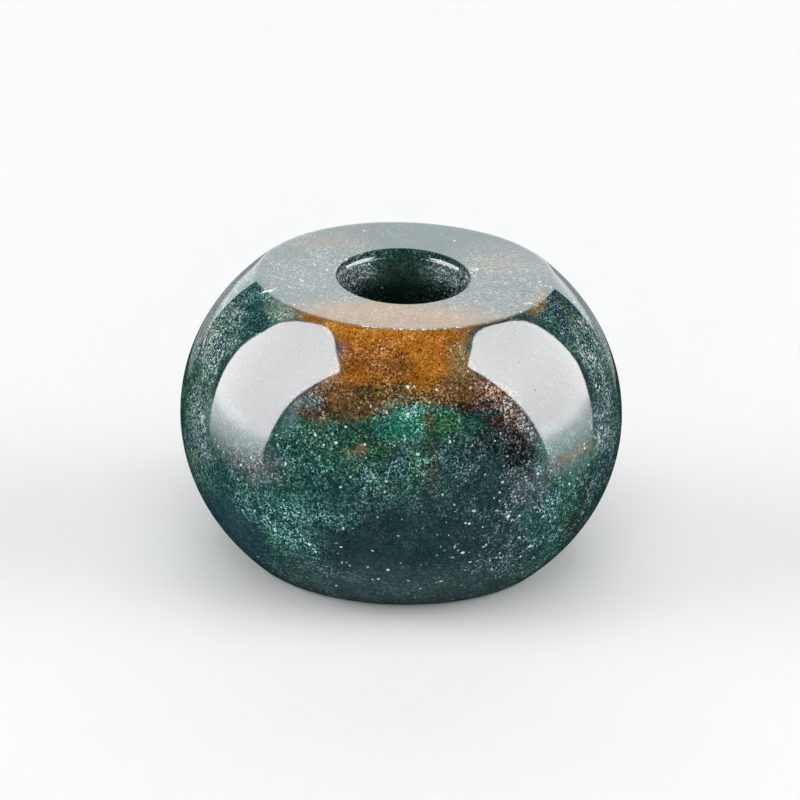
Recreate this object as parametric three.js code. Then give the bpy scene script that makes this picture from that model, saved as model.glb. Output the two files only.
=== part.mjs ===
import * as THREE from 'three';

// A polished agate bead in millimetres, +Z up: one barrel-shaped stone with a flat at each end,
// drilled right through along its axis. It stands on one flat, and the origin is the centre of that flat.

const beadHeight = 12; // from flat to flat
const waistRadius = 9; // where the bead is widest
const sideReach = 8.05; // height above the waist at which the side's ellipse would close, past the flat
const boreRadius = 2.5;
const mouthRound = 0.5; // radius polished onto each mouth of the bore
const rimRound = 0.35; // radius polished onto the rim of each flat

const sectorsAround = 96;
const stepsOnSide = 12; // from the waist to the rim
const stepsOnRim = 3;
const stepsOnMouth = 5;

const waistHeight = beadHeight / 2;

// Before the rim is rounded, the side meets the flat at this radius, sloping down from it by this angle.
const rimRadius = waistRadius * Math.sqrt(1 - (waistHeight / sideReach) ** 2);
const rimSlope = Math.atan((rimRadius * sideReach ** 2) / (waistHeight * waistRadius ** 2));

// The rounding takes this much off the flat, and as much off the side.
const rimTrim = rimRound * Math.tan(rimSlope / 2);
const sideTop = waistHeight - rimTrim * Math.sin(rimSlope);

// The outline's upper half as points (radius, height): up the side, over the rim and into the bore.
function upperHalf() {
  const sideEnd = Math.asin(sideTop / sideReach);
  const side = new THREE.EllipseCurve(0, waistHeight, waistRadius, sideReach, 0, sideEnd);

  const corner = new THREE.Vector2(rimRadius, beadHeight);
  const flatEdge = new THREE.Vector2(rimRadius - rimTrim, beadHeight);
  const rim = new THREE.QuadraticBezierCurve(side.getPoint(1), corner, flatEdge);

  const mouthRadius = boreRadius + mouthRound;
  const mouthHeight = beadHeight - mouthRound;
  const mouth = new THREE.EllipseCurve(mouthRadius, mouthHeight, mouthRound, mouthRound, Math.PI / 2, Math.PI);

  return [
    ...side.getPoints(stepsOnSide),
    ...rim.getPoints(stepsOnRim).slice(1),
    ...mouth.getPoints(stepsOnMouth),
  ];
}

// The lower half is the upper one upside down, and the bore's wall closes the outline.
function outline() {
  const upper = upperHalf();
  const lower = upper.map((point) => new THREE.Vector2(point.x, beadHeight - point.y)).reverse();
  return [...lower, ...upper.slice(1), lower[0].clone()];
}

function makeBead() {
  const stone = new THREE.MeshStandardMaterial({ color: 0x2c5a5c, roughness: 0.1, metalness: 0 });
  const bead = new THREE.Mesh(new THREE.LatheGeometry(outline(), sectorsAround), stone);
  bead.name = 'bead';
  bead.rotation.x = Math.PI / 2; // the outline is turned about Y, and the bead stands along Z
  return bead;
}

const indianAgate = new THREE.Group();
indianAgate.add(makeBead());

export default indianAgate;
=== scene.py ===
import math

import bmesh
import bpy
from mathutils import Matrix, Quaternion, Vector


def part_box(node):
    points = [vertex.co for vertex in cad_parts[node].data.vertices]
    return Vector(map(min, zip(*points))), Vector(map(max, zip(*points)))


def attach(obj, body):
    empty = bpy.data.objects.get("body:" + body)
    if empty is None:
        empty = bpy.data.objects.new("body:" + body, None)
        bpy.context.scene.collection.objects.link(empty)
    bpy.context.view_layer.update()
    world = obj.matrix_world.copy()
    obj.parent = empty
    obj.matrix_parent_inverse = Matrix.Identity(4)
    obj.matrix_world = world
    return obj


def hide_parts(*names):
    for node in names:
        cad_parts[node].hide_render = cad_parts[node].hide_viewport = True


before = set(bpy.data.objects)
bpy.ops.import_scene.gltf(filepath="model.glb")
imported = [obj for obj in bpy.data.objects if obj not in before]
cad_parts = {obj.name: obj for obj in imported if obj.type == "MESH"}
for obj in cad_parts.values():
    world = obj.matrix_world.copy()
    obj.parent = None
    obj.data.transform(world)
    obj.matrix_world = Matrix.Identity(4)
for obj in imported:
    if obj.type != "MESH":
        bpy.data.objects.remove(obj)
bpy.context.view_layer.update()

# A polished, drilled agate bead on a pale studio floor. Metres, +Z up, the bead stands on the origin.

mm = 0.001
hair = 0.01 * mm         # less than the width of any ring or row
print("frame loaded")


# Small helpers for edit mode

def editOn(piece):
    bpy.ops.object.select_all(action="DESELECT")
    bpy.context.view_layer.objects.active = piece
    piece.select_set(True)
    bpy.ops.object.mode_set(mode="EDIT")


def editOff():
    bpy.ops.object.mode_set(mode="OBJECT")


def pick(piece, kind, wanted):
    # selects those faces, edges or points that are wanted, and nothing else
    bpy.ops.mesh.select_mode(type=kind)
    bpy.ops.mesh.select_all(action="DESELECT")
    mesh = bmesh.from_edit_mesh(piece.data)
    for part in {"FACE": mesh.faces, "EDGE": mesh.edges, "VERT": mesh.verts}[kind]:
        part.select_set(wanted(part))
    bmesh.update_edit_mesh(piece.data)


# Small helpers for materials

def toLinear(colour):
    # screen values from 0 to 255 in, light values out, by the usual screen curve
    shades = [value / 255 for value in colour]
    return [s / 12.92 if s <= 0.04045 else ((s + 0.055) / 1.055) ** 2.4 for s in shades] + [1.0]


class Nodes:
    # adds nodes to one material, each wired or set as it is made
    def __init__(self, name):
        self.material = bpy.data.materials.new(name)
        self.material.use_nodes = True
        self.tree = self.material.node_tree
        self.shader = self.tree.nodes["Principled BSDF"]

    def put(self, socket, value):
        if isinstance(value, bpy.types.NodeSocket):
            self.tree.links.new(value, socket)
        else:
            socket.default_value = value

    def coordinates(self):
        # the piece's own coordinates, in metres
        return self.tree.nodes.new("ShaderNodeTexCoord").outputs["Object"]

    def math(self, operation, first, second=0.0):
        node = self.tree.nodes.new("ShaderNodeMath")
        node.operation = operation
        self.put(node.inputs[0], first)
        self.put(node.inputs[1], second)
        return node.outputs[0]

    def vector(self, operation, first, second=(0.0, 0.0, 0.0)):
        node = self.tree.nodes.new("ShaderNodeVectorMath")
        node.operation = operation
        self.put(node.inputs[0], first)
        if operation == "SCALE":
            self.put(node.inputs["Scale"], second)
        else:
            self.put(node.inputs[1], second)
        return node.outputs["Value" if operation == "LENGTH" else "Vector"]

    def noise(self, place, scale, detail=2.0, roughness=0.5, wanted="Fac"):
        node = self.tree.nodes.new("ShaderNodeTexNoise")
        self.put(node.inputs["Vector"], place)
        self.put(node.inputs["Scale"], scale)
        self.put(node.inputs["Detail"], detail)
        self.put(node.inputs["Roughness"], roughness)
        return node.outputs[wanted]

    def cells(self, place, scale):
        node = self.tree.nodes.new("ShaderNodeTexVoronoi")
        self.put(node.inputs["Vector"], place)
        self.put(node.inputs["Scale"], scale)
        return node.outputs["Distance"], node.outputs["Color"]

    def split(self, value):
        node = self.tree.nodes.new("ShaderNodeSeparateXYZ")
        self.put(node.inputs[0], value)
        return node.outputs[0], node.outputs[1], node.outputs[2]

    def ramp(self, value, low, high, bottom=0.0, top=1.0, course="SMOOTHSTEP"):
        node = self.tree.nodes.new("ShaderNodeMapRange")
        node.interpolation_type = course
        self.put(node.inputs["Value"], value)
        self.put(node.inputs["From Min"], low)
        self.put(node.inputs["From Max"], high)
        self.put(node.inputs["To Min"], bottom)
        self.put(node.inputs["To Max"], top)
        return node.outputs["Result"]

    def mix(self, factor, first, second):
        node = self.tree.nodes.new("ShaderNodeMix")
        node.data_type = "RGBA"
        self.put(node.inputs["Factor"], factor)
        self.put(node.inputs["A"], first)
        self.put(node.inputs["B"], second)
        return node.outputs["Result"]

    def shades(self, value, stops):
        # stops are pairs of position and screen colour
        node = self.tree.nodes.new("ShaderNodeValToRGB")
        self.put(node.inputs["Fac"], value)
        while len(node.color_ramp.elements) < len(stops):
            node.color_ramp.elements.new(0.5)
        for element, (position, colour) in zip(node.color_ramp.elements, stops):
            element.position = position
            element.color = toLinear(colour)
        return node.outputs["Color"]

    def drift(self, place, scale, detail, roughness, strength):
        # a vector that wanders about nought
        wander = self.noise(place, scale, detail, roughness, "Color")
        return self.vector("SCALE", self.vector("SUBTRACT", wander, (0.5, 0.5, 0.5)), strength)

    def away(self, place, centre, reach):
        # how far out a place is, as a share of an ellipsoid's reach
        return self.vector("LENGTH", self.vector("DIVIDE", self.vector("SUBTRACT", place, centre), reach))


# The stone

bead = {
    "sideReach": 8.05 * mm,      # the side is an ellipse that would close this far above the waist
    "boreRadius": 2.5 * mm,
    # each mouth of the bore, in mm out from its wall and down from the flat: a crisp edge,
    # a steep polished band, a narrow ledge and the flare that the drill left
    "mouth": [(0.35, 0.0), (0.338, 0.010), (0.330, 0.04), (0.326, 0.15), (0.320, 0.265), (0.311, 0.285),
              (0.276, 0.325), (0.262, 0.38), (0.235, 0.50), (0.18, 0.72), (0.10, 0.98), (0.0, 1.30)],
    "mouthShift": (-0.08 * mm, -0.15 * mm, 0),   # the mouths are worn a little off centre and oval
    "mouthStretch": (0.96, 1.09, 1),
    "mouthDeep": 0.4 * mm,       # how far down each mouth moves as a whole
    "mouthReach": 2.4 * mm,      # how far round it the stone still follows
    "rimRound": 0.35 * mm,       # rounding at the rim of each flat
    "sectors": 288,
    "rings": 168,
    "rimSteps": 4,
    "flatSteps": 16,
    "boreSteps": 40,
    # size and depth of the unevenness that the polish by hand left
    "sway": [(6.0 * mm, 0.030 * mm), (1.9 * mm, 0.006 * mm)],
}


def capOutline(spec, waistRadius, halfHeight):
    # the rings of a flat, from where the side stops to where the bore's wall starts,
    # each with its radius and its height above the waist
    rimRadius = waistRadius * math.sqrt(1 - (halfHeight / spec["sideReach"]) ** 2)
    slope = math.atan(rimRadius * spec["sideReach"] ** 2 / (halfHeight * waistRadius ** 2))
    trim = spec["rimRound"] * math.tan(slope / 2)
    start = Vector((rimRadius + trim * math.cos(slope), halfHeight - trim * math.sin(slope)))
    corner = Vector((rimRadius, halfHeight))
    flatEdge = Vector((rimRadius - trim, halfHeight))
    rings = []
    for step in range(spec["rimSteps"] + 1):
        t = step / spec["rimSteps"]
        rings.append(start * (1 - t) ** 2 + corner * 2 * t * (1 - t) + flatEdge * t ** 2)
    mouth = [Vector((spec["boreRadius"] + out * mm, halfHeight - down * mm)) for out, down in spec["mouth"]]
    for step in range(1, spec["flatSteps"]):
        rings.append(flatEdge.lerp(mouth[0], step / spec["flatSteps"]))
    return rings + mouth


def turnBead(spec):
    low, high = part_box("bead")
    middle = (low + high) / 2
    waistRadius = (high.x - low.x) / 2
    halfHeight = (high.z - low.z) / 2
    rings = capOutline(spec, waistRadius, halfHeight)

    bpy.ops.mesh.primitive_uv_sphere_add(
        segments=spec["sectors"], ring_count=spec["rings"], radius=waistRadius, location=middle)
    stone = bpy.context.object
    stone.name = "agateBead"
    bpy.ops.object.transform_apply(location=True, rotation=True, scale=True)

    # the ball becomes the side's ellipse, and is sliced off where each rim starts
    editOn(stone)
    bpy.ops.mesh.select_all(action="SELECT")
    bpy.ops.transform.resize(value=(1, 1, spec["sideReach"] / waistRadius), center_override=middle)
    for outward in (1, -1):
        bpy.ops.mesh.select_all(action="SELECT")
        bpy.ops.mesh.bisect(plane_co=(0, 0, middle.z + outward * rings[0].y), plane_no=(0, 0, outward),
                            use_fill=True, clear_outer=True, threshold=hair / 100)

    def atEnd(face):
        return abs(face.normal.z) > 0.999 and abs(face.calc_center_median().z - middle.z) > rings[0].y - hair

    # both ends at once: round the rim, lay the flat, then turn in at the mouth of the bore
    pick(stone, "FACE", atEnd)
    for before, after in zip(rings, rings[1:]):
        inward, upward = after.x / before.x, after.y / before.y
        bpy.ops.mesh.extrude_region()
        bpy.ops.transform.resize(value=(inward, inward, upward), center_override=middle)

    # what is left in the middle of each end is joined up by the bore
    bpy.ops.mesh.bridge_edge_loops(number_cuts=spec["boreSteps"])
    bpy.ops.mesh.select_all(action="SELECT")
    bpy.ops.mesh.remove_doubles(threshold=hair / 10)
    bpy.ops.mesh.normals_make_consistent(inside=False)

    def atMouth(point):
        edge = spec["boreRadius"] + spec["mouth"][0][0] * mm + hair
        return abs(point.co.z - middle.z) > halfHeight - spec["mouthDeep"] and point.co.xy.length < edge

    # both mouths are worn a little off centre
    pick(stone, "VERT", atMouth)
    wear = {"use_proportional_edit": True, "proportional_size": spec["mouthReach"]}
    bpy.ops.transform.resize(value=spec["mouthStretch"], center_override=middle, **wear)
    bpy.ops.transform.translate(value=spec["mouthShift"], **wear)
    editOff()

    # polished by hand, so nowhere quite true; the clouds only ever take stone away
    for number, (size, depth) in enumerate(spec["sway"]):
        clouds = bpy.data.textures.new("sway%d" % number, "CLOUDS")
        clouds.noise_scale = size
        clouds.noise_depth = 0
        sway = stone.modifiers.new("sway", "DISPLACE")
        sway.texture = clouds
        sway.texture_coords = "LOCAL"
        sway.mid_level = 1.0
        sway.strength = depth
        bpy.ops.object.modifier_apply(modifier=sway.name)
    return stone


# Small damage to the polish. Places and sizes are in mm, from the middle of the lower flat.

damage = {
    "rimRadius": 5.96,           # how far out the chips are
    # chips out of the upper and the lower rim: degrees round from the front, length
    "upperChips": [
        (-15, 0.17), (-11.5, 0.13), (-9, 0.05), (-3.5, 0.05), (-1, 0.10), (3, 0.07), (4.5, 0.04), (8, 0.14),
        (10.5, 0.05), (12, 0.08), (16, 0.06), (18, 0.04), (22, 0.18), (24.5, 0.05), (34, 0.06), (52, 0.08),
        (82, 0.17), (118, 0.10), (164, 0.14), (201, 0.09), (246, 0.12), (289, 0.07),
    ],
    "lowerChips": [
        (-15, 0.11), (-3, 0.16), (1.5, 0.09), (5, 0.12), (40, 0.10), (97, 0.12), (150, 0.08), (215, 0.13),
    ],
    "chipDepth": 0.06,
    # pits: centre, reach
    "pits": [
        ((2.81, 0.87, 12.0), (0.17, 0.19, 0.05)), ((-1.87, 2.26, 11.98), (0.13, 0.05, 0.06)),
        ((-2.42, 1.55, 11.98), (0.07, 0.08, 0.05)), ((5.60, -0.76, 12.0), (0.16, 0.06, 0.04)),
        ((5.46, -0.28, 12.0), (0.09, 0.06, 0.05)), ((2.00, -3.54, 12.0), (0.07, 0.10, 0.05)),
        ((1.92, -3.08, 12.0), (0.05, 0.08, 0.05)), ((5.00, -2.74, 12.0), (0.17, 0.10, 0.07)),
        ((-4.98, -0.81, 12.0), (0.06, 0.09, 0.05)), ((-4.10, -1.42, 12.0), (0.05, 0.06, 0.05)),
        ((4.47, -4.71, 11.58), (0.05, 0.05, 0.05)), ((4.22, -5.21, 11.37), (0.04, 0.04, 0.04)),
        ((4.66, -5.71, 10.62), (0.04, 0.04, 0.05)), ((5.35, -6.04, 9.56), (0.05, 0.04, 0.04)),
        ((5.94, -6.32, 8.15), (0.05, 0.05, 0.06)), ((6.41, -5.83, 8.18), (0.04, 0.04, 0.04)),
        ((-4.13, -5.90, 10.83), (0.04, 0.04, 0.04)), ((-6.07, -5.96, 8.63), (0.05, 0.04, 0.04)),
        ((0.73, -8.75, 7.76), (0.10, 0.05, 0.07)), ((-2.33, -8.69, 6.20), (0.07, 0.05, 0.05)),
        ((-0.51, -8.96, 6.62), (0.08, 0.05, 0.06)), ((-2.17, -8.53, 4.33), (0.05, 0.05, 0.09)),
        ((4.05, -8.04, 5.92), (0.06, 0.05, 0.06)), ((4.59, -7.57, 4.54), (0.07, 0.05, 0.08)),
        ((3.58, -7.77, 3.49), (0.06, 0.05, 0.09)), ((2.25, -8.70, 5.59), (0.05, 0.05, 0.05)),
        ((1.01, -7.21, 1.26), (0.07, 0.06, 0.06)), ((5.71, -6.80, 4.69), (0.05, 0.05, 0.07)),
    ],
    # the crack's course, from point to point
    "crack": [(-6.03, -1.94, 11.84), (-5.76, -2.16, 11.95), (-5.44, -2.23, 12.02),
              (-5.24, -2.03, 12.02), (-5.12, -1.80, 12.03), (-5.00, -1.46, 12.07)],
    "crackRadius": 0.13,
    "crispAngle": 35,            # edges sharper than this, in degrees, stay crisp
    "crumbs": 14.0,              # crumbs of broken stone to the mm
    "colours": [(0.35, (128, 136, 134)), (0.65, (236, 240, 238))],
    "roughness": 0.5,
}


def makeNick(centre, reach, turn=0.0):
    # a small lump that takes a chip out of the stone
    bpy.ops.mesh.primitive_ico_sphere_add(subdivisions=2, radius=mm, location=Vector(centre) * mm,
                                          rotation=(0, 0, turn))
    nick = bpy.context.object
    nick.scale = reach
    bpy.ops.object.transform_apply(location=True, rotation=True, scale=True)
    return nick


def makeCrack(points, radius):
    # a section with a sharp lower edge, drawn out from point to point
    points = [Vector(point) * mm for point in points]
    bpy.ops.mesh.primitive_circle_add(vertices=4, radius=radius * mm, fill_type="NGON", location=points[0],
                                      rotation=(0, math.radians(90), 0))
    crack = bpy.context.object
    bpy.ops.object.transform_apply(location=True, rotation=True, scale=True)
    editOn(crack)
    pick(crack, "FACE", lambda face: True)
    for before, after in zip(points, points[1:]):
        bpy.ops.mesh.extrude_region()
        bpy.ops.transform.translate(value=after - before)
    bpy.ops.mesh.select_all(action="SELECT")
    bpy.ops.mesh.normals_make_consistent(inside=False)
    editOff()
    return crack


def wearStone(stone, spec):
    low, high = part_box("bead")
    nicks = []
    for chips, height in ((spec["upperChips"], high.z / mm), (spec["lowerChips"], low.z / mm)):
        for degrees, length in chips:
            turn = math.radians(degrees)
            place = (spec["rimRadius"] * math.sin(turn), -spec["rimRadius"] * math.cos(turn), height)
            nicks.append(makeNick(place, (length, spec["chipDepth"], spec["chipDepth"]), turn))
    for centre, reach in spec["pits"]:
        nicks.append(makeNick(centre, reach))
    nicks.append(makeCrack(spec["crack"], spec["crackRadius"]))

    # all joined, they are cut out of the stone in one go, and leave the second material where they cut
    bpy.ops.object.select_all(action="DESELECT")
    for nick in nicks:
        nick.select_set(True)
    cutter = nicks[0]
    bpy.context.view_layer.objects.active = cutter
    bpy.ops.object.join()
    for material in stone.data.materials:
        cutter.data.materials.append(material)
    for face in cutter.data.polygons:
        face.material_index = 1
    cut = stone.modifiers.new("nicks", "BOOLEAN")
    cut.operation = "DIFFERENCE"
    cut.solver = "EXACT"
    cut.object = cutter
    bpy.ops.object.select_all(action="DESELECT")
    bpy.context.view_layer.objects.active = stone
    stone.select_set(True)
    bpy.ops.object.modifier_apply(modifier=cut.name)
    bpy.data.objects.remove(cutter)
    bpy.ops.object.shade_smooth_by_angle(angle=math.radians(spec["crispAngle"]))


# The agate: one solid pattern through the whole stone, so that flats, side and bore all cut the same zones; a
# painted reflection on the upper flat and a painted shade in the bore lie over it

agate = {
    # as seen on screen: the darkest grains, the body and the palest grains
    "colours": {
        "teal": ((6, 26, 26), (30, 66, 61), (84, 134, 124)),
        "navy": ((4, 15, 21), (30, 51, 56), (102, 131, 137)),
        "calm": ((22, 38, 40), (35, 57, 59), (50, 76, 78)),
        "slate": ((42, 58, 56), (58, 78, 78), (80, 104, 106)),
        # flatSheen and flatGreySheen are painted reflection: the pale veil of light that lies over the upper
        # flat
        "flatSheen": ((32, 58, 56), (46, 76, 74), (66, 98, 96)),
        "flatGreySheen": ((60, 73, 71), (102, 111, 109), (148, 158, 156)),
        "tan": ((130, 100, 66), (156, 120, 78), (182, 148, 108)),
        "sea": ((20, 44, 50), (36, 67, 73), (54, 90, 96)),
        "clear": ((30, 46, 48), (38, 56, 58), (52, 74, 76)),
        "frost": ((8, 32, 32), (36, 71, 69), (106, 160, 155)),
        "foam": ((6, 26, 24), (56, 95, 90), (178, 208, 202)),
        "mist": ((60, 88, 87), (80, 108, 106), (110, 137, 135)),
        "jade": ((6, 46, 38), (34, 98, 82), (112, 182, 160)),
        "pine": ((6, 28, 16), (30, 64, 42), (84, 130, 98)),
        "sage": ((44, 70, 60), (104, 130, 116), (172, 190, 172)),
        # boreBackShade is painted shade for the bore's unlit back wall, boreSideLight painted light and
        # glints for its lit sides
        "boreBackShade": ((18, 40, 32), (34, 62, 50), (56, 88, 74)),
        "boreSideLight": ((2, 6, 6), (44, 64, 66), (248, 252, 250)),
        "night": ((5, 8, 9), (22, 29, 30), (86, 100, 98)),
        "ash": ((40, 50, 52), (84, 92, 92), (136, 144, 146)),
        "mauve": ((96, 54, 38), (154, 104, 78), (194, 162, 146)),
        "rust": ((70, 28, 4), (134, 78, 24), (178, 122, 62)),
        "amber": ((112, 56, 4), (176, 110, 30), (210, 154, 74)),
        "ochre": ((84, 66, 32), (138, 110, 66), (182, 156, 120)),
        "olive": ((34, 24, 10), (76, 57, 28), (126, 102, 62)),
        "umber": ((38, 22, 8), (101, 71, 38), (162, 128, 90)),
        "maroon": ((14, 8, 8), (48, 34, 32), (122, 106, 102)),
        # quartzAndGlint is pale quartz, partly a painted glint where a side panel's reflection ends
        "quartzAndGlint": ((14, 12, 10), (98, 93, 89), (232, 232, 230)),
    },
    # tones go from 0 to 1: their middle, and where the dark, the body, the pale and the glints are
    "tone": 0.42,
    "stops": (0.0, 0.37, 0.58, 0.88, 1.0),
    # noises that bend the zones' edges: how many waves to the mm, detail, roughness, how far in mm
    "bends": [(0.5, 3.0, 0.6, 1.4), (2.6, 4.0, 0.7, 0.9)],
    "clearBend": (1.6, 2.0, 0.6, 0.3),
    "crumble": 0.2,              # how far their edges break up in grains
    "grains": 19.0,              # grains to the mm
    "shake": (14.0, 1.0, 0.5, 0.15),         # bends the grains, given as the bends are
    # noises: how many waves to the mm, detail, roughness; and between which values each sets in
    "frosting": (0.7, 2.0, 0.5), "frostingFrom": (0.38, 0.62),
    "clumps": (1.3, 1.5, 0.5),
    "threads": (5.0, 2.0, 0.6), "threading": (0.9, 1.0, 0.5), "threadingFrom": (0.48, 0.62),
    "sinking": (0.28, 3.0, 0.55), "tealFrom": (0.40, 0.50), "frostFrom": (0.54, 0.64),
    "greening": (0.5, 2.0, 0.5), "pineFrom": (0.52, 0.64),
    "spread": (0.9, 1.25),       # how far single grains differ in tone, with least and with most frosting
    "clumping": 0.45,            # how far clumps of them do
    "threadTone": 0.2,           # how much paler threads are
    "threadWidth": 0.03,
    # drifts of colour over everything: how many waves to the mm, detail, roughness, how strong
    "hueDrifts": [(1.3, 2.0, 0.6, 0.45), (12.0, 2.0, 0.6, 0.8)],
    # colour, centre and reach in mm from the middle of the lower flat, softness of the edge, strength
    "zones": [
        # round the lower half of the front
        ("teal", (-4.4, -7.2, 6.0), (4.8, 3.6, 3.8), 0.40, 1.0),
        ("navy", (3.8, -7.8, 4.6), (3.0, 3.0, 3.6), 0.40, 1.0),
        ("calm", (0.6, -8.6, 3.5), (4.2, 3.0, 2.9), 0.35, 1.0),
        ("calm", (3.0, -8.2, 6.2), (1.7, 1.5, 1.0), 0.50, 0.7),
        ("slate", (0.3, -7.0, 0.5), (5.8, 3.5, 2.0), 0.50, 1.0),
        ("sea", (-6.6, -4.4, 2.7), (2.2, 2.8, 1.7), 0.35, 1.0),
        ("frost", (-5.3, -6.9, 4.3), (1.6, 1.6, 0.7), 0.60, 1.0),
        ("frost", (-4.1, -7.5, 3.4), (1.0, 1.4, 1.1), 0.60, 1.0),
        ("frost", (-3.2, -8.2, 4.9), (1.5, 1.4, 0.7), 0.70, 0.7),
        ("foam", (-8.0, -3.4, 6.6), (1.0, 1.8, 2.2), 0.60, 0.7),
        ("frost", (5.9, -6.4, 4.4), (1.2, 1.4, 1.5), 0.60, 0.9),
        ("frost", (7.2, -5.2, 5.2), (0.9, 1.2, 1.0), 0.60, 0.8),
        ("mist", (6.9, -5.6, 6.9), (1.9, 2.0, 1.25), 0.50, 1.0),
        ("mist", (-6.7, -5.5, 7.5), (1.5, 1.8, 1.2), 0.60, 1.0),
        ("ash", (-5.9, -6.7, 6.4), (1.5, 1.5, 0.75), 0.70, 0.9),
        ("ash", (5.3, -7.2, 6.0), (0.9, 1.0, 0.9), 0.70, 0.7),
        ("night", (7.6, -4.4, 4.6), (0.35, 0.8, 1.0), 0.60, 0.8),
        ("night", (7.1, -4.6, 3.2), (0.40, 0.9, 1.0), 0.60, 0.8),
        ("ochre", (6.8, -5.9, 6.65), (0.6, 0.9, 0.24), 0.80, 0.5),
        ("ochre", (7.5, -4.9, 6.70), (0.6, 0.9, 0.20), 0.80, 0.45),
        ("night", (4.8, -7.5, 7.3), (0.7, 0.9, 1.0), 0.60, 1.0),
        ("night", (3.4, -8.1, 8.0), (1.1, 0.9, 0.30), 0.60, 0.8),
        ("olive", (1.4, -8.8, 7.4), (0.35, 0.8, 0.9), 0.90, 0.35),
        ("foam", (8.3, -3.0, 7.6), (0.8, 1.8, 1.8), 0.60, 0.6),
        # the shoulders
        ("foam", (-7.6, -1.6, 9.9), (1.6, 3.0, 1.6), 0.45, 1.0),
        ("foam", (7.4, -1.4, 10.0), (1.6, 2.6, 1.4), 0.45, 0.85),
        ("sage", (-4.9, -3.9, 11.7), (1.1, 1.3, 0.40), 0.50, 0.9),
        # green under the rust
        ("pine", (-2.4, -8.2, 8.3), (2.4, 1.5, 1.2), 0.50, 1.0),
        ("teal", (-3.0, -8.0, 7.6), (1.6, 1.4, 0.7), 0.60, 0.7),
        ("teal", (-2.0, -8.2, 8.6), (1.5, 1.2, 0.6), 0.60, 0.5),
        # brown between the rust and the green
        ("umber", (-1.6, -7.4, 9.7), (3.2, 2.0, 0.65), 0.30, 1.0),
        ("umber", (-3.5, -7.4, 9.2), (1.3, 1.2, 0.6), 0.50, 1.0),
        ("olive", (-2.0, -7.7, 9.6), (1.2, 1.0, 0.40), 0.50, 0.9),
        ("umber", (2.4, -7.3, 9.9), (2.2, 1.4, 0.75), 0.35, 1.0),
        # jade, with green and brown spots beside it
        ("jade", (0.2, -8.2, 8.9), (1.15, 1.0, 0.80), 0.40, 1.0),
        ("jade", (2.2, -8.0, 9.1), (0.6, 0.8, 0.30), 0.60, 0.8),
        ("teal", (3.3, -7.9, 8.7), (1.1, 0.9, 0.40), 0.60, 0.9),
        ("pine", (1.9, -8.2, 8.7), (0.7, 0.7, 0.45), 0.60, 0.9),
        ("olive", (1.2, -8.3, 8.9), (0.25, 0.5, 0.30), 0.90, 0.7),
        ("ochre", (-1.5, -8.6, 7.85), (0.35, 0.5, 0.22), 0.90, 0.6),
        # the rust patch, on the flat's front and the side under it
        ("rust", (0.05, -6.2, 11.1), (2.75, 2.6, 1.45), 0.14, 1.0),
        ("amber", (1.0, -6.4, 11.2), (0.8, 1.6, 1.5), 0.60, 0.9),
        ("amber", (-1.7, -7.2, 10.2), (1.1, 1.0, 0.30), 0.80, 0.75),
        ("umber", (-0.4, -7.0, 10.7), (1.1, 1.0, 0.5), 0.90, 0.35),
        ("mauve", (-2.7, -6.6, 10.9), (0.40, 0.9, 0.9), 0.60, 0.8),
        ("ochre", (2.4, -6.7, 10.9), (0.55, 1.0, 1.0), 0.60, 1.0),
        ("olive", (2.6, -7.0, 10.3), (1.0, 0.9, 0.35), 0.70, 0.7),
        ("olive", (-0.1, -7.7, 9.90), (1.7, 0.8, 0.30), 0.40, 0.9),
        ("maroon", (-2.05, -7.65, 9.70), (0.35, 0.5, 0.09), 0.50, 0.9),
        ("maroon", (-1.40, -7.60, 9.95), (0.40, 0.5, 0.09), 0.50, 0.9),
        # a dark vein down to the right, with pale quartz over it that is partly a painted glint of the right
        # panel's edge
        ("umber", (3.6, -7.2, 9.75), (1.1, 0.9, 0.40), 0.50, 1.0),
        ("umber", (4.6, -7.2, 8.9), (0.8, 0.8, 0.45), 0.50, 0.9),
        ("maroon", (3.0, -7.5, 9.42), (1.3, 0.8, 0.26), 0.40, 1.0),
        ("maroon", (4.0, -7.5, 8.75), (0.9, 0.8, 0.38), 0.40, 1.0),
        ("maroon", (4.7, -7.3, 8.2), (0.9, 0.8, 0.42), 0.40, 1.0),
        ("maroon", (5.4, -6.9, 7.8), (0.5, 0.7, 0.30), 0.50, 0.9),
        ("night", (3.2, -7.65, 9.2), (1.2, 0.8, 0.15), 0.50, 0.6),
        ("night", (4.5, -7.4, 8.2), (0.9, 0.8, 0.25), 0.50, 0.9),
        ("quartzAndGlint", (3.3, -7.05, 10.0), (0.55, 0.5, 0.22), 0.60, 0.3),
        ("quartzAndGlint", (4.1, -7.00, 9.50), (0.50, 0.5, 0.28), 0.60, 0.75),
        ("quartzAndGlint", (4.8, -6.90, 8.95), (0.42, 0.5, 0.38), 0.60, 1.0),
        ("quartzAndGlint", (5.3, -6.80, 8.35), (0.38, 0.5, 0.42), 0.60, 1.0),
        # a shorter one to the left, greyer
        ("umber", (-3.0, -7.4, 9.6), (1.2, 0.9, 0.45), 0.50, 1.0),
        ("maroon", (-3.6, -7.5, 9.1), (0.9, 0.8, 0.28), 0.50, 0.9),
        ("ash", (-3.8, -7.2, 9.35), (0.8, 0.6, 0.45), 0.60, 1.0),
        ("mist", (-4.5, -7.2, 8.6), (0.50, 0.6, 0.8), 0.60, 0.9),
        # pale quartz here too, partly a painted glint of the left panel's edge
        ("quartzAndGlint", (-3.1, -7.0, 10.0), (0.60, 0.6, 0.30), 0.70, 0.35),
        # rust along the front rim of the flat
        ("rust", (-1.0, -5.2, 12.3), (3.8, 2.0, 0.80), 0.16, 1.0),
        ("amber", (-0.9, -5.7, 11.9), (3.6, 1.4, 0.45), 0.60, 0.9),
    ],
    # nearly clear stone to both sides, where the grain hardly shows
    "clearZones": [
        ("clear", (-6.1, -5.6, 9.1), (2.4, 2.1, 2.1), 0.10, 1.0),
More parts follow.
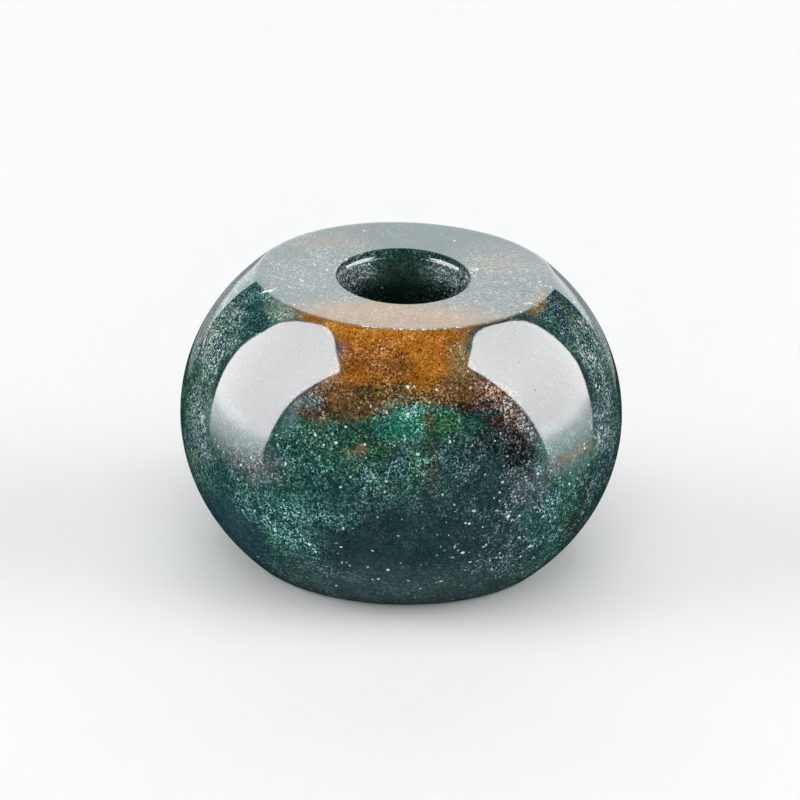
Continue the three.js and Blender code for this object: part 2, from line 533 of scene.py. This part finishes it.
        ("clear", (-4.7, -5.8, 10.6), (2.5, 1.8, 1.5), 0.10, 1.0),
        ("clear", (6.75, -5.5, 9.4), (2.45, 2.2, 2.05), 0.10, 1.0),
        ("clear", (4.8, -5.3, 10.8), (2.9, 1.9, 1.35), 0.10, 1.0),
    ],
    # the upper flat is painted paler and calmer, a painted reflection of the pale veil that lies over it, and
    # tan towards the front; it sets in between these heights
    "flatFrom": (11.93, 11.955),
    "flatZones": [
        # painted reflection: the first four zones paint the pale veil over the flat; the frost and the tan
        # are the stone's own
        ("flatSheen", (0.0, 0.0, 12.0), (9.0, 9.0, 1.0), 0.20, 1.0),
        ("flatGreySheen", (-3.8, 0.2, 12.0), (2.4, 4.2, 1.0), 0.50, 0.9),
        ("flatGreySheen", (4.2, 0.0, 12.0), (2.4, 3.8, 1.0), 0.50, 0.9),
        ("flatGreySheen", (0.0, -3.4, 12.0), (4.6, 1.6, 1.0), 0.50, 0.9),
        ("frost", (-4.6, 2.6, 12.0), (1.5, 1.3, 1.0), 0.80, 0.4),
        ("frost", (4.9, -1.8, 12.0), (1.3, 1.5, 1.0), 0.80, 0.4),
        ("frost", (-4.4, -2.8, 12.0), (1.3, 1.0, 1.0), 0.80, 0.4),
        ("tan", (-0.5, -4.7, 12.0), (4.2, 1.7, 1.0), 0.45, 1.0),
    ],
    # laid over all the others
    "stains": [
        # painted shade darkens the bore's wall at the back, and painted light with painted glints makes it
        # grey and sparkling to both sides
        ("boreBackShade", (0.0, 3.0, 10.8), (1.7, 1.3, 1.1), 0.50, 1.0),
        ("boreSideLight", (-2.5, 0.8, 10.9), (1.1, 1.9, 1.1), 0.40, 1.0),
        ("boreSideLight", (2.5, 0.8, 10.9), (1.1, 1.9, 1.1), 0.40, 1.0),
        # haze over the lower end of the clear stone
        ("mist", (-6.8, -5.4, 7.5), (1.5, 1.8, 0.60), 0.50, 0.95),
        ("mist", (6.7, -5.6, 7.7), (1.5, 1.8, 0.60), 0.50, 0.95),
        # stains on the flat and along its rim
        ("ochre", (-3.1, 3.3, 12.0), (1.3, 0.8, 0.9), 0.80, 0.45),
        ("ochre", (3.7, 1.9, 12.0), (0.9, 0.6, 0.6), 0.80, 0.45),
        ("ochre", (5.5, -3.0, 11.9), (0.8, 1.4, 0.14), 0.60, 0.8),
    ],
    # white specks: cells to the mm with at most one speck each, its radius as a share of the cell, how rare
    "specks": [(8.0, 0.29, 0.985), (5.0, 0.28, 0.978), (3.0, 0.23, 0.965)],
    "speckColour": (226, 234, 232),
    "speckEdge": 0.2,            # share of its radius over which a speck fades
    "speckFade": 0.01,           # specks this close to being left out are faint
    # where there are more of them: centre, reach, how many more; a swarm thins out between two shares
    # of its reach
    "swarms": [((4.0, -7.0, 4.2), (2.8, 3.0, 2.6), 0.08), ((-7.3, -3.9, 9.6), (1.3, 2.0, 1.6), 0.04),
               ((7.6, -3.5, 9.3), (0.9, 1.6, 2.0), 0.05)],
    "swarmEdge": (0.5, 1.5),
    "relief": 0.0004 * mm,       # height of the grain in the polish
    "roughness": 0.04,
    "ior": 1.54,
}

# the finish inside the bore, with its painted shade, in mm as the zones are
boreFinish = {
    "radius": 2.772,             # the polish stops on the ledge in each mouth
    "edge": 0.01,
    "roughness": 0.24,
    "crumbs": 8.0,               # coarse grit to the mm
    "coarser": 80.0,             # how much higher it stands than the grain of the polish
    "grains": (-0.35, 0.35),     # the tones of single grains that count as darkest and palest
    "contrast": (0.75, 1.2),     # the shades that these two have
    "shadeHeights": (4.1, 5.6),       # painted shade: it grows darker between these heights above and below the waist
    "shades": (0.28, 0.9),       # painted shade, from deep in to high up
    "tint": (0.80, 0.95, 1.0),
}


def grainStops(places, dark, body, pale):
    # most grains are near the body's colour, some are dark or pale, and a few glint
    glint = [min(255, 2 * bright - middling) for bright, middling in zip(pale, body)]
    return list(zip(places, (dark, body, body, pale, glint)))


def toneOfGrains(nodes, spec, bent, shaken, grain):
    # crisp grains of quartz, stronger in some clumps than in others, and fine pale threads between them
    frosting = nodes.ramp(nodes.noise(bent, *spec["frosting"]), *spec["frostingFrom"], *spec["spread"])
    clumps = nodes.math("SUBTRACT", nodes.noise(bent, *spec["clumps"]), 0.5)
    ridges = nodes.math("ABSOLUTE", nodes.math("SUBTRACT", nodes.noise(shaken, *spec["threads"]), 0.5))
    threads = nodes.math("MULTIPLY", nodes.ramp(ridges, 0.0, spec["threadWidth"], spec["threadTone"], 0.0),
                         nodes.ramp(nodes.noise(bent, *spec["threading"]), *spec["threadingFrom"]))
    tone = nodes.math("ADD", nodes.math("MULTIPLY", grain, frosting), spec["tone"])
    tone = nodes.math("ADD", tone, nodes.math("MULTIPLY", clumps, spec["clumping"]))
    return nodes.math("ADD", tone, threads)


def layZones(nodes, spec, place, bent, tone):
    # each zone is an ellipsoid whose edge breaks up in grains; clear stone keeps a steadier edge,
    # and the zones of the flat wander along it, but not down into the side
    colours = {}
    for name, trio in spec["colours"].items():
        colours[name] = nodes.shades(tone, grainStops(spec["stops"], *trio))
    crumble = nodes.math("MULTIPLY", nodes.math("SUBTRACT", tone, spec["tone"]), spec["crumble"])
    steady = nodes.vector("ADD", place, nodes.drift(place, *spec["clearBend"]))
    along = nodes.vector("MULTIPLY", nodes.vector("SUBTRACT", bent, place), (1.0, 1.0, 0.0))
    level = nodes.vector("ADD", place, along)
    onFlat = nodes.ramp(nodes.split(place)[2], *spec["flatFrom"])

    # under them all is a ground of teal, sinking to navy and turning to green
    depth = nodes.noise(bent, *spec["sinking"])
    ground = nodes.mix(nodes.ramp(depth, *spec["tealFrom"]), colours["navy"], colours["teal"])
    ground = nodes.mix(nodes.ramp(depth, *spec["frostFrom"]), ground, colours["frost"])
    greening = nodes.ramp(nodes.noise(bent, *spec["greening"]), *spec["pineFrom"])
    ground = nodes.mix(greening, ground, colours["pine"])
    clearness = 0.0
    for group, where in (("zones", bent), ("clearZones", steady), ("flatZones", level), ("stains", bent)):
        for name, centre, reach, softness, strength in spec[group]:
            out = nodes.away(where, centre, reach)
            if group != "clearZones":
                out = nodes.math("ADD", out, crumble)
            inside = nodes.ramp(out, 1 - softness, 1 + softness, strength, 0.0)
            if group == "flatZones":
                inside = nodes.math("MULTIPLY", inside, onFlat)
            if group == "clearZones":
                clearness = nodes.math("MAXIMUM", inside, clearness)
            ground = nodes.mix(inside, ground, colours[name])
    for drift in spec["hueDrifts"]:
        tint = nodes.vector("ADD", nodes.drift(bent, *drift), (1.0, 1.0, 1.0))
        ground = nodes.vector("MULTIPLY", ground, tint)
    return ground, clearness


def sowSpecks(nodes, spec, ground, bent, shaken, clearness):
    # white specks, most of them in a few swarms and none in clear stone
    more = nodes.math("MULTIPLY", clearness, -1.0)
    for centre, reach, extra in spec["swarms"]:
        out = nodes.away(bent, centre, reach)
        more = nodes.math("ADD", more, nodes.ramp(out, *spec["swarmEdge"], extra, 0.0))
    for cells, radius, rare in spec["specks"]:
        nearest, luck = nodes.cells(shaken, cells)
        speck = nodes.ramp(nearest, radius * (1 - spec["speckEdge"]), radius, 1.0, 0.0)
        chance = nodes.math("ADD", nodes.split(luck)[1], more)
        picked = nodes.ramp(chance, rare, rare + spec["speckFade"])
        ground = nodes.mix(nodes.math("MULTIPLY", speck, picked), ground, toLinear(spec["speckColour"]))
    return ground


def agateFinish(spec, bore, shape):
    nodes = Nodes("agate")
    place = nodes.vector("SCALE", nodes.coordinates(), 1 / mm)
    bent = place
    for bend in spec["bends"]:
        bent = nodes.vector("ADD", bent, nodes.drift(place, *bend))
    shaken = nodes.vector("ADD", place, nodes.drift(place, *spec["shake"]))
    grain = nodes.math("SUBTRACT", nodes.split(nodes.cells(shaken, spec["grains"])[1])[0], 0.5)
    tone = toneOfGrains(nodes, spec, bent, shaken, grain)
    ground, clearness = layZones(nodes, spec, place, bent, tone)
    ground = sowSpecks(nodes, spec, ground, bent, shaken, clearness)

    # polished outside, ground dull and gritty inside the bore, and painted darker the deeper in, a painted
    # shade
    low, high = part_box("bead")
    waist = (low.z + high.z) / 2 / mm
    height = nodes.math("ABSOLUTE", nodes.math("SUBTRACT", nodes.split(place)[2], waist))
    anyHeight = 1000.0           # so long a reach that the height doesn't count
    fromAxis = nodes.away(place, Vector(shape["mouthShift"]) / mm, (*shape["mouthStretch"][:2], anyHeight))
    edge = (bore["radius"] - bore["edge"] / 2, bore["radius"] + bore["edge"] / 2)
    # painted shade: the wall is darkened deeper in the bore, and the grit's own contrast is laid over it
    shade = nodes.ramp(height, *bore["shadeHeights"], *bore["shades"])
    shade = nodes.math("MULTIPLY", shade, nodes.ramp(grain, *bore["grains"], *bore["contrast"]))
    shadedBoreColour = nodes.vector("MULTIPLY", nodes.vector("SCALE", ground, shade), bore["tint"])
    roughness = nodes.ramp(fromAxis, *edge, bore["roughness"], spec["roughness"])
    nodes.put(nodes.shader.inputs["Base Color"], nodes.mix(nodes.ramp(fromAxis, *edge), shadedBoreColour, ground))
    nodes.put(nodes.shader.inputs["Roughness"], roughness)
    nodes.shader.inputs["IOR"].default_value = spec["ior"]

    bump = nodes.tree.nodes.new("ShaderNodeBump")
    bump.inputs["Distance"].default_value = spec["relief"]
    grit = nodes.math("MULTIPLY", nodes.noise(place, bore["crumbs"]),
                      nodes.ramp(fromAxis, *edge, bore["coarser"], 0.0))
    nodes.put(bump.inputs["Height"], nodes.math("ADD", grit, nodes.noise(place, spec["grains"], 1.0)))
    nodes.put(nodes.shader.inputs["Normal"], bump.outputs["Normal"])
    return nodes.material


def brokenFinish(spec):
    # where the polish is broken the stone is dull and nearly white
    nodes = Nodes("brokenAgate")
    crumbs = nodes.noise(nodes.vector("SCALE", nodes.coordinates(), 1 / mm), spec["crumbs"])
    nodes.put(nodes.shader.inputs["Base Color"], nodes.shades(crumbs, spec["colours"]))
    nodes.shader.inputs["Roughness"].default_value = spec["roughness"]
    nodes.shader.inputs["IOR"].default_value = agate["ior"]
    return nodes.material


# The studio. A polished stone mirrors the panels and is lit by the softer lamps.

studio = {
    "floorRadius": 0.5,
    "floorSides": 96,
    "wallSteps": [(0.62, 0.02), (0.72, 0.08), (0.80, 0.18), (0.84, 0.32), (0.86, 0.60)],   # radius and height
    "floorColour": 0.9,
    "floorRoughness": 0.9,
    "distance": 0.6,                     # from the bead to every panel and lamp
    "gloom": (0.010, 0.016, 0.022),      # what a polished face sees where there is no light
    # a panel's rows are its height and its two edges, near and far or left and right, as shares of the
    # distance; it glows at its near and its far side, stronger by its rise further up, and fades away to
    # what is left at its foot in steps, each from one height to another and with its share of the glow
    "sidePanels": {
        "leftPanel": {
            "side": -1,
            "rows": [(-0.50, -0.335, 0.33), (-0.20, -0.335, 0.41), (0.05, -0.34, 0.51), (0.20, -0.335, 0.56),
                     (0.47, -0.325, 0.60), (0.65, -0.32, 0.65), (0.90, -0.345, 0.64), (1.16, -0.365, 0.60),
                     (1.39, -0.39, 0.56), (1.56, -0.41, 0.50), (1.67, -0.41, 0.40), (1.72, -0.35, 0.26)],
            "glow": (13.6, 11.2), "rise": (0.92, 1.04), "foot": 0.0,
            "fades": [(-0.44, 0.08, 0.65), (-0.14, 0.0, 0.35)], "tint": (1.0, 0.978, 0.985),
        },
        "rightPanel": {
            "side": 1,
            "rows": [(-0.50, -0.215, 0.36), (-0.14, -0.215, 0.51), (0.03, -0.215, 0.63), (0.28, -0.22, 0.70),
                     (0.53, -0.225, 0.77), (0.70, -0.225, 0.79), (0.89, -0.225, 0.76), (1.28, -0.225, 0.65),
                     (1.50, -0.225, 0.58), (1.64, -0.225, 0.49), (1.72, -0.20, 0.36)],
            "glow": (13.4, 10.2), "rise": (0.86, 1.09), "foot": 0.0,
            "fades": [(-0.40, 0.14, 0.6), (-0.08, 0.06, 0.4)], "tint": (1.0, 0.978, 0.985),
        },
    },
    "panelRoll": 18.2,                   # degrees that these two lean forward
    "backPanel": {
        "rows": [(-0.30, -0.57, 0.54), (0.90, -0.57, 0.54)],
        "glow": (1.68, 1.68), "rise": (1.0, 1.0), "foot": 0.42,
        "fades": [(-0.14, -0.01, 1.0)], "tint": (0.93, 0.985, 1.0),
    },
    "glowReach": 0.45,                   # how far to each side the change from near to far glow goes
    "riseHeights": (0.0, 0.6),           # the glow rises between these heights
    # lamps: direction from the bead, size in m, power
    "lamps": {
        "topLamp": ((0.0, -0.1, 1.0), 0.7, 1.8),
        "leftLamp": ((-1.0, -0.15, 0.45), 0.5, 1.3),
        "rightLamp": ((1.0, -0.15, 0.45), 0.5, 1.3),
        "frontLamp": ((0.0, -1.0, 0.6), 0.5, 0.9),
        "backLamp": ((0.0, 1.0, 0.5), 0.5, 0.8),
    },
}


def paintFloor(spec):
    nodes = Nodes("paleFloor")
    nodes.shader.inputs["Base Color"].default_value = (spec["floorColour"],) * 3 + (1.0,)
    nodes.shader.inputs["Roughness"].default_value = spec["floorRoughness"]
    return nodes.material


def scaled(spec, *shares):
    # lengths in metres from shares of the distance
    return [share * spec["distance"] for share in shares]


def paintGlow(spec, name, plan, middle):
    # dies away towards its foot, and is dimmer on the far side than on the near one
    nodes = Nodes(name + "Glow")
    depth, height = nodes.split(nodes.vector("SUBTRACT", nodes.coordinates(), middle))[1:]
    sides = scaled(spec, -spec["glowReach"], spec["glowReach"])
    full = nodes.ramp(depth, *sides, *plan["glow"], course="LINEAR")
    gain = nodes.ramp(height, *scaled(spec, *spec["riseHeights"]), *plan["rise"], course="LINEAR")
    lit = 0.0
    for low, high, share in plan["fades"]:
        lit = nodes.math("ADD", nodes.ramp(height, *scaled(spec, low, high), 0.0, share), lit)
    glow = nodes.math("MULTIPLY", lit, nodes.math("MULTIPLY", full, gain))
    glow = nodes.math("ADD", glow, plan["foot"])
    nodes.shader.inputs["Base Color"].default_value = (0, 0, 0, 1)
    nodes.shader.inputs["Specular IOR Level"].default_value = 0
    nodes.shader.inputs["Emission Color"].default_value = plan["tint"] + (1.0,)
    nodes.put(nodes.shader.inputs["Emission Strength"], glow)
    return nodes.material


def makeFloor(spec):
    # a disc whose edge curves up into a wall all round
    radius, height = spec["floorRadius"], 0.0
    bpy.ops.mesh.primitive_circle_add(vertices=spec["floorSides"], radius=radius, fill_type="NGON")
    floor = bpy.context.object
    floor.name = "studioFloor"
    editOn(floor)
    pick(floor, "EDGE", lambda edge: True)
    for nextRadius, nextHeight in spec["wallSteps"]:
        wider = nextRadius / radius
        bpy.ops.mesh.extrude_edges_move(TRANSFORM_OT_translate={"value": (0, 0, nextHeight - height)})
        bpy.ops.transform.resize(value=(wider, wider, 1), center_override=(0, 0, 0))
        radius, height = nextRadius, nextHeight
    editOff()
    bpy.ops.object.shade_smooth()
    floor.data.materials.append(paintFloor(spec))
    floor.visible_glossy = False


def makePanel(spec, name, plan, middle, outward, rotation):
    # made lying flat, X across and Y upward, drawn out row by row, then stood up in its place
    rows = [scaled(spec, *row) for row in plan["rows"]]
    height, left, right = rows[0]
    upper = rows[1][0]
    bpy.ops.mesh.primitive_plane_add(size=1, location=((left + right) / 2, (height + upper) / 2, 0))
    panel = bpy.context.object
    panel.name = name
    panel.scale = (right - left, upper - height, 1)
    bpy.ops.object.transform_apply(location=True, rotation=True, scale=True)
    editOn(panel)
    pick(panel, "EDGE", lambda edge: min(point.co.y for point in edge.verts) > upper - hair)
    height = upper
    for number, (nextHeight, nextLeft, nextRight) in enumerate(rows[1:]):
        if number:
            bpy.ops.mesh.extrude_edges_move(TRANSFORM_OT_translate={"value": (0, nextHeight - height, 0)})
        bpy.ops.transform.translate(value=((nextLeft + nextRight - left - right) / 2, 0, 0))
        bpy.ops.transform.resize(value=((nextRight - nextLeft) / (right - left), 1, 1),
                                 center_override=((nextLeft + nextRight) / 2, nextHeight, 0))
        height, left, right = nextHeight, nextLeft, nextRight
    editOff()
    panel.location = middle + Vector(outward) * spec["distance"]
    panel.rotation_euler = rotation.to_euler()
    bpy.ops.object.transform_apply(location=True, rotation=True, scale=True)
    panel.data.materials.append(paintGlow(spec, name, plan, middle))
    panel.visible_camera = False
    panel.visible_diffuse = False


def turned(axis, degrees):
    return Quaternion(axis, math.radians(degrees))


def makeLights(spec):
    low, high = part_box("bead")
    middle = (low + high) / 2
    upright = turned((1, 0, 0), 90)
    sideways = turned((1, 0, 0), spec["panelRoll"]) @ turned((0, 0, 1), 90) @ upright
    for name, plan in spec["sidePanels"].items():
        makePanel(spec, name, plan, middle, (plan["side"], 0, 0), sideways)
    makePanel(spec, "backPanel", spec["backPanel"], middle, (0, 1, 0), upright)

    for name, (towards, size, power) in spec["lamps"].items():
        towards = Vector(towards).normalized()
        bpy.ops.object.light_add(type="AREA", location=middle + towards * spec["distance"],
                                 rotation=towards.to_track_quat("Z", "Y").to_euler())
        lamp = bpy.context.object
        lamp.name = name
        lamp.data.shape = "DISK"
        lamp.data.size = size
        lamp.data.energy = power
        lamp.visible_glossy = False
        lamp.visible_camera = False

    world = bpy.data.worlds.new("gloom")
    world.use_nodes = True
    world.node_tree.nodes["Background"].inputs["Color"].default_value = spec["gloom"] + (1.0,)
    bpy.context.scene.world = world


camera = {
    "aim": (-0.06 * mm, 0.18 * mm, 6.45 * mm),
    "elevation": 22.0,
    "roll": 1.8,                 # the picture leans a little
    "distance": 0.45,
    "frameWidth": 32.53 * mm,    # width of what the picture takes in, at the bead
    "sensorWidth": 36,           # in mm, as the lens is
    "clipEnd": 10,               # in metres
}


def placeCamera(spec):
    up = math.radians(spec["elevation"])
    back = Vector((0, -math.cos(up), math.sin(up)))
    bpy.ops.object.camera_add(location=Vector(spec["aim"]) + back * spec["distance"])
    eye = bpy.context.object
    eye.name = "photoCamera"
    look = (-back).to_track_quat("-Z", "Y") @ turned((0, 0, 1), spec["roll"])
    eye.rotation_euler = look.to_euler()
    eye.data.sensor_width = spec["sensorWidth"]
    eye.data.lens = spec["sensorWidth"] * spec["distance"] / spec["frameWidth"]
    eye.data.clip_end = spec["clipEnd"]
    bpy.context.scene.camera = eye


placeCamera(camera)
makeFloor(studio)
makeLights(studio)
bpy.context.scene.view_settings.view_transform = "Standard"
print("studio set")

stone = turnBead(bead)
print("bead turned:", len(stone.data.polygons), "faces")
stone.data.materials.append(agateFinish(agate, boreFinish, bead))
stone.data.materials.append(brokenFinish(damage))
wearStone(stone, damage)
print("chips, pits and crack cut:", len(stone.data.polygons), "faces")
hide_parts("bead")
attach(stone, "root")
print("agate finished")
